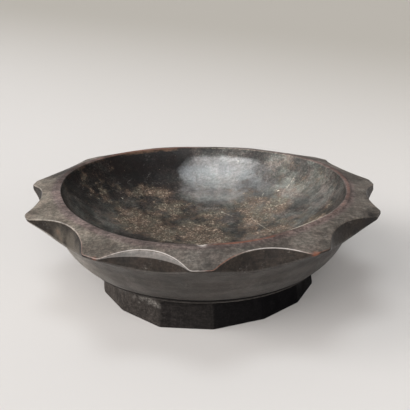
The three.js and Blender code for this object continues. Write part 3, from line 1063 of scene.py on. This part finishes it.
def buildBowl(shape, finish):
    turns = columnTurns(shape)
    profile, zones = bowlProfile(shape, turns)
    radius, height = profile[:, 0], profile[:, 1]
    allTurns = np.broadcast_to(turns, radius.shape)
    places = aroundAxis(allTurns, radius, warpRim(shape, allTurns, radius, height))
    # the uneven surface that the tools and the hand left
    inHollow = (zones == "hollow")[:, None]
    depth = 0
    for size, outside, inside, seed in shape["lumps"]:
        depth = depth + np.where(inHollow, inside, outside) * softNoise(places, size, seed)
    far, near = shape["steadyEdge"]
    depth *= 1 - smoothStep(radius, shape["tipRadius"] - far, shape["tipRadius"] - near)
    depth *= (zones != "under")[:, None]
    for knock in shape["knocks"]:
        depth -= paintSpots(places, [knock])
    places = places + gridNormals(places) * depth[..., None]
    masks = bowlMasks(shape, finish, turns, profile, zones, places)
    makeGridPiece("carvedBowl", places, masks, "bowl", bowlMaterial(finish))


buildBowl(bowlShape, bowlFinish)

footShape = {
    "radius": 82.8,             # axis to a corner, on the table
    "taper": 2.0,               # how much less that is under the collar
    "turn": 4.4,                # first corner
    "topShift": (-1.5, 0.0),    # the facets' top stands a little to the side
    "arrisWear": 0.9,           # how softly the facets' arrises are worn
    "wornDepth": 0.25,          # wear that shows an arris as fully worn
    "easing": 0.9,
    "collarRadius": 90.3,
    "collarHeight": 24.0,
    "seamRadius": 92.75,
    "seamHeight": 27.4,
    "collarEdge": 0.7,
    "seamEdge": 0.6,
    "cove": 1.6,                # hollow corner under the collar
    "recessRadius": 32.3,
    "recessDepth": 7.3,
    "columns": 600,
    "facetRows": 40,
    "undersideRows": (0.1, 0.6, 0.9),
    "easedRows": (0.0, 0.35, 0.7, 1.0),
    "marks": [(9.0, 0.22, 0.45, 21), (4.0, 0.10, 1.0, 22)],     # size, height, how z is scaled, seed
    "markSink": 0.18,
    "chipDepth": (0.7, 0.6, 0.4, 1.8, 23),  # depth, its even and rough shares, the roughness's size, seed
    "markFade": (0.2, 2.5),     # heights between which the marks begin
    # turn off the even place, and reach over the radius, of each corner
    "corners": [
        (0, 1.2), (2, -1.5), (2, -0.5), (0.5, 2.4), (0, 0.5), (0, 0), (0, 0),
        (0, 0), (0, 0), (0, -1), (0.5, -2), (1, -3), (-0.5, -2), (0, 3),
    ],
}

footFinish = {
    "dull": (0.020, 0.017, 0.0155),
    # a near black for painted shade on the right facets and for the joint, then a lighter colour for
    # painted light on the left facets
    "sootyAndShaded": (0.0010, 0.0008, 0.0012),
    "dusty": (0.056, 0.047, 0.041),
    "rubbed": (0.24, 0.22, 0.20),
    "collar": (0.060, 0.053, 0.048),
    "patina": {"Cloud": 0.016, "Fleck": 0.0022},
    "grain": {"Spacing": 0.0012, "Stretch": 0.08},
    "scratchSpacing": 0.005,
    "splinters": (650.0, 4.0, 0.8, 0.42, 0.58, 0.25, 1.0),  # scale, detail, roughness and growth
    "dustInClouds": (0.6, 1.0),
    "fleckLight": (0.7, 1.35),
    "streakLight": (0.8, 1.2),
    "cloudRoughness": (0.70, 0.55),
    "wearLayers": [("arris", 0.006, 0.03, "rubbed")],
    "chipBreakup": 0.0022,
    "chipShare": 0.7,
    "scratchShare": 0.08,
    "wornArris": (0.5, 0.6),    # least wear along the lower edge, and the collar's
    "relief": {"flecks": 0.6, "pits": -0.4},
    "bump": {"Strength": 0.5, "Distance": 0.0004},
    "shader": {"Specular IOR Level": 0.06},
    # painted shade and painted light on each facet, by turn: how dark the shaded facets are, and how light
    # the lit ones, both changing at the facets' corners
    "sootRound": [
        (-74, 0.0), (-22, 0.05), (-20.5, 0.35), (4, 0.45), (5, 0.85), (29.5, 0.9), (30.5, 1.0), (65, 1.0),
        (120, 0.8), (180, 0.6), (-120, 0.4),
    ],
    "dustRound": [
        (-74, 0.95), (-47.5, 0.9), (-46.5, 0.55), (-22, 0.5), (-20.5, 0.08), (4, 0.05), (5, 0.0), (60, 0.0),
        (180, 0.2), (-110, 0.5),
    ],
    "seamGrime": [(-95, 0.15), (-40, 0.2), (-12, 0.7), (5, 1.0), (60, 1.0), (180, 0.7)],
    "soften": {"sootRound": 0.5, "dustRound": 0.5, "seamGrime": 4},
    "chipSpots": [
        (-44.5, -67.8, 18.5, 4.0, 0.8), (-40.8, -71.0, 19.5, 3.2, 0.9), (-37.8, -74.2, 18.4, 3.2, 0.8),
        (-34.8, -76.4, 17.6, 3.0, 0.9), (-32.0, -78.6, 16.2, 2.6, 0.7), (-39.5, -72.5, 16.0, 2.6, 0.5),
        (-62.0, -51.0, 18.5, 5.0, 0.7), (-56.7, -56.8, 18.0, 4.0, 0.5), (-50.0, -62.6, 16.2, 3.2, 0.5),
        (-46.0, -66.0, 13.0, 1.6, 0.5), (-12.0, -82.0, 12.0, 2.0, 0.25), (-14.0, -82.0, 8.0, 2.0, 0.25),
    ],
}


def facetOutline(shape, turns, inset, rise):  # radius of the faceted outline at a share of the height
    count = len(shape["corners"])
    turnOff, reachOver = np.array(shape["corners"]).T
    angles = shape["turn"] + 360 * np.arange(count) / count + turnOff
    reach = shape["radius"] + reachOver - inset - shape["taper"] * rise
    places = aroundAxis(np.radians(angles), reach, np.zeros(count))[:, :2]
    places = places + np.array(shape["topShift"]) * rise
    found = np.full(len(turns), np.inf)
    way = np.stack([np.sin(turns), -np.cos(turns)], axis=-1)
    for start, end in zip(places, np.roll(places, -1, axis=0)):
        along = end - start
        cross = way[:, 0] * along[1] - way[:, 1] * along[0]
        distance = (start[0] * along[1] - start[1] * along[0]) / cross
        share = (start[0] * way[:, 1] - start[1] * way[:, 0]) / cross
        good = (distance > 0) & (share >= -1e-9) & (share <= 1 + 1e-9)
        found = np.where(good, np.minimum(found, distance), found)
    return found


def footProfile(shape, turns, wornArris):  # rows of (radius, height), and the zone and worn arrises of each
    spread = shape["arrisWear"] / (2 * np.pi * shape["radius"] / shape["columns"])
    neck, easing, cove = shape["collarHeight"], shape["easing"], shape["cove"]
    profile, zones, arris = [], [], []

    def add(zone, row, worn=0.0):
        profile.append(row)
        zones.append(zone)
        arris.append(np.broadcast_to(worn, turns.shape))

    def facetRow(inset, height):
        sharp = facetOutline(shape, turns, inset, height / neck)
        blunt = roundBlend(sharp, spread)
        return flatRow(turns, blunt, height), np.clip((sharp - blunt) / shape["wornDepth"], 0, 1)

    edge = facetRow(easing, 0.0)[0]
    for share in shape["undersideRows"]:
        add("hidden", edge * [[share], [1]])
    for angle in np.array(shape["easedRows"]) * math.pi / 2:  # eased lower edge
        row, worn = facetRow(easing * (1 - math.sin(angle)), easing * (1 - math.cos(angle)))
        add("facet", row, np.maximum(worn, wornArris[0]))
    for share in np.linspace(0, 1, shape["facetRows"])[1:]:
        add("facet", *facetRow(0.0, easing + share * (neck - cove - easing)))
    for angle in np.array(shape["easedRows"][1:]) * math.pi / 2:  # cove up to the collar's underside
        add("facet", facetRow(-cove * (1 - math.cos(angle)), neck - cove * (1 - math.sin(angle)))[0])
    top = facetRow(-cove, neck)[0]
    collar = flatRow(turns, shape["collarRadius"], neck)
    seam = flatRow(turns, shape["seamRadius"], shape["seamHeight"])
    add("collar", top + 0.5 * (collar - top))
    for row in roundedCorner(top, collar, seam, shape["collarEdge"], 5):
        add("collar", row, wornArris[1])
    for row in roundedCorner(collar, seam, seam - [[3], [0]], shape["seamEdge"], 3):
        add("seam", row)
    recess, floor = shape["recessRadius"], shape["seamHeight"] - shape["recessDepth"]
    for radius, height in ((recess, shape["seamHeight"]), (recess, floor), (recess / 4, floor)):
        add("hidden", flatRow(turns, radius, height))
    return np.array(profile), np.array(zones), np.array(arris)


def footMaterial(finish):
    material, shader, place = startMaterial("blackenedWood")
    patina, grain, scratches = woodEffects(place, finish)
    # painted light on the left facets, and painted shade on the right ones
    dusty = times(readMask(place, "dusty"), between(patina["Clouds"], *finish["dustInClouds"]))
    colour = mixColour(dusty, finish["dull"], finish["dusty"])
    colour = paintZones(place, colour, finish, {"soot": "sootyAndShaded", "collar": "collar"})
    flecks = between(patina["Flecks"], *finish["fleckLight"])
    light = times(flecks, between(grain["Streaks"], *finish["streakLight"]))
    colour = mixColour(1.0, colour, greyColour(light), "MULTIPLY")
    colour = paintWearAndShade(place, colour, finish, finish["wearLayers"])
    chips = brokenUpMask(place, "chips", finish["chipBreakup"])
    chips = times(chips, noiseMask(place, *finish["splinters"]))
    colour = mixColour(times(chips, finish["chipShare"]), colour, finish["rubbed"])
    colour = mixColour(times(scratches, finish["scratchShare"]), colour, finish["rubbed"])
    colour = mixColour(readMask(place, "grime"), colour, finish["sootyAndShaded"])
    roughness = between(patina["Clouds"], *finish["cloudRoughness"])
    normal = reliefNormal(finish, grain["Height"], flecks=patina["Flecks"], pits=patina["Pits"])
    setShader(shader, {**finish["shader"], "Base Color": colour, "Roughness": roughness, "Normal": normal})
    return material


def buildFoot(shape, finish):
    turns = columnTurns(shape)
    profile, zones, arris = footProfile(shape, turns, finish["wornArris"])
    radius, height = profile[:, 0], profile[:, 1]
    places = aroundAxis(np.broadcast_to(turns, radius.shape), radius, height)
    facet = wholeRows(zones == "facet", len(turns))
    chips = paintSpots(places, finish["chipSpots"]) * facet
    marks = -shape["markSink"]
    for size, rise, zScale, seed in shape["marks"]:
        marks = marks + rise * softNoise(places * (1, 1, zScale), size, seed)
    depth, even, rough, size, seed = shape["chipDepth"]
    dent = facet * marks - depth * chips * (even + rough * softNoise(places, size, seed))
    dent *= smoothStep(height, *shape["markFade"])
    places = places + gridNormals(places) * dent[..., None]
    masks = {
        "collar": wholeRows(zones == "collar", len(turns)),
        "grime": wholeRows(zones == "seam", len(turns)) * curveRound(finish, "seamGrime", turns),
        "arris": arris * facet,
        "chips": chips,
        # painted shade on the right facets, and painted light on the left ones
        "soot": facet * curveRound(finish, "sootRound", turns),
        "dusty": facet * curveRound(finish, "dustRound", turns),
    }
    makeGridPiece("facetedFoot", places, masks, "foot", footMaterial(finish))


buildFoot(footShape, footFinish)

stageSet = {
    "floorSize": 60000.0,
    "nearColour": (0.655, 0.622, 0.596),
    "farColour": (0.405, 0.375, 0.335),
    "paintedFalloff": (0.6, 0.8, 0.0),   # way in which the floor darkens: a painted falloff of the light, away from the front left
    "paintedFalloffEnds": (50.0, 1200.0),
    "shader": {"Roughness": 0.9, "Specular IOR Level": 0.2},
}


def addStage(stage):
    half = stage["floorSize"] / 2 * millimetre
    mesh = bpy.data.meshes.new("floor")
    corners = [(-half, -half, 0), (half, -half, 0), (half, half, 0), (-half, half, 0)]
    mesh.from_pydata(corners, [], [(0, 1, 2, 3)])
    material, shader, place = startMaterial("paleFloor")
    # painted light: the floor darkens towards the back right, as the light falls off
    way = tuple(Vector(stage["paintedFalloff"]).normalized())
    along = vectorMath("DOT_PRODUCT", place, way, "Value")
    share = remap(along, *(end * millimetre for end in stage["paintedFalloffEnds"]))
    colour = mixColour(share, stage["nearColour"], stage["farColour"])
    setShader(shader, {**stage["shader"], "Base Color": colour})
    mesh.materials.append(material)
    floor = addObject("floor", mesh)


addStage(stageSet)

# Sun lamps: where each shines from, its strength, its softness in degrees, and its colour
lampSet = {
    "above": ((-0.10, 0.02, 1.0), 0.55, 24, (0.87, 0.95, 1.0)),
    "front": ((0.0, -0.95, 0.30), 1.6, 40, (1.0, 1.0, 1.0)),
    "frontHigh": ((0.0, -0.77, 0.64), 0.8, 40, (1.0, 1.0, 1.0)),
    "frontLeft": ((-0.58, -0.58, 0.57), 1.35, 36, (1.0, 1.0, 1.0)),
    "left": ((-0.91, -0.06, 0.41), 1.4, 24, (1.0, 1.0, 1.0)),
    "frontRight": ((0.67, -0.67, 0.30), 0.5, 40, (1.0, 1.0, 1.0)),
}

worldSet = {
    "bright": (0.42, 0.42, 0.42),
    "dark": (0.07, 0.07, 0.072),
    "from": (-0.62, 0.42, 0.66),
    "edge": (-0.1, 0.95),       # where the bright side begins, and is fully bright
}


def addLamps(lamps):
    for name, (place, strength, softness, colour) in lamps.items():
        light = bpy.data.lights.new(name, "SUN")
        light.energy = strength
        light.color = colour
        light.angle = math.radians(softness)
        holder = addObject(name, light)
        holder.matrix_world = Vector(place).to_track_quat("Z", "Y").to_matrix().to_4x4()


def addWorld(settings):
    world = bpy.data.worlds.new("studio")
    world.use_nodes = True
    tree = world.node_tree
    way = tree.nodes.new("ShaderNodeTexCoord").outputs["Generated"]
    bright = tuple(Vector(settings["from"]).normalized())
    facing = vectorMath("DOT_PRODUCT", way, bright, "Value")
    colour = mixColour(remap(facing, *settings["edge"]), settings["dark"], settings["bright"])
    setSocket(tree.nodes["Background"].inputs["Color"], colour)
    bpy.context.scene.world = world


addLamps(lampSet)
addWorld(worldSet)
bpy.context.scene.view_settings.view_transform = "Standard"
print("stage and lamps set")
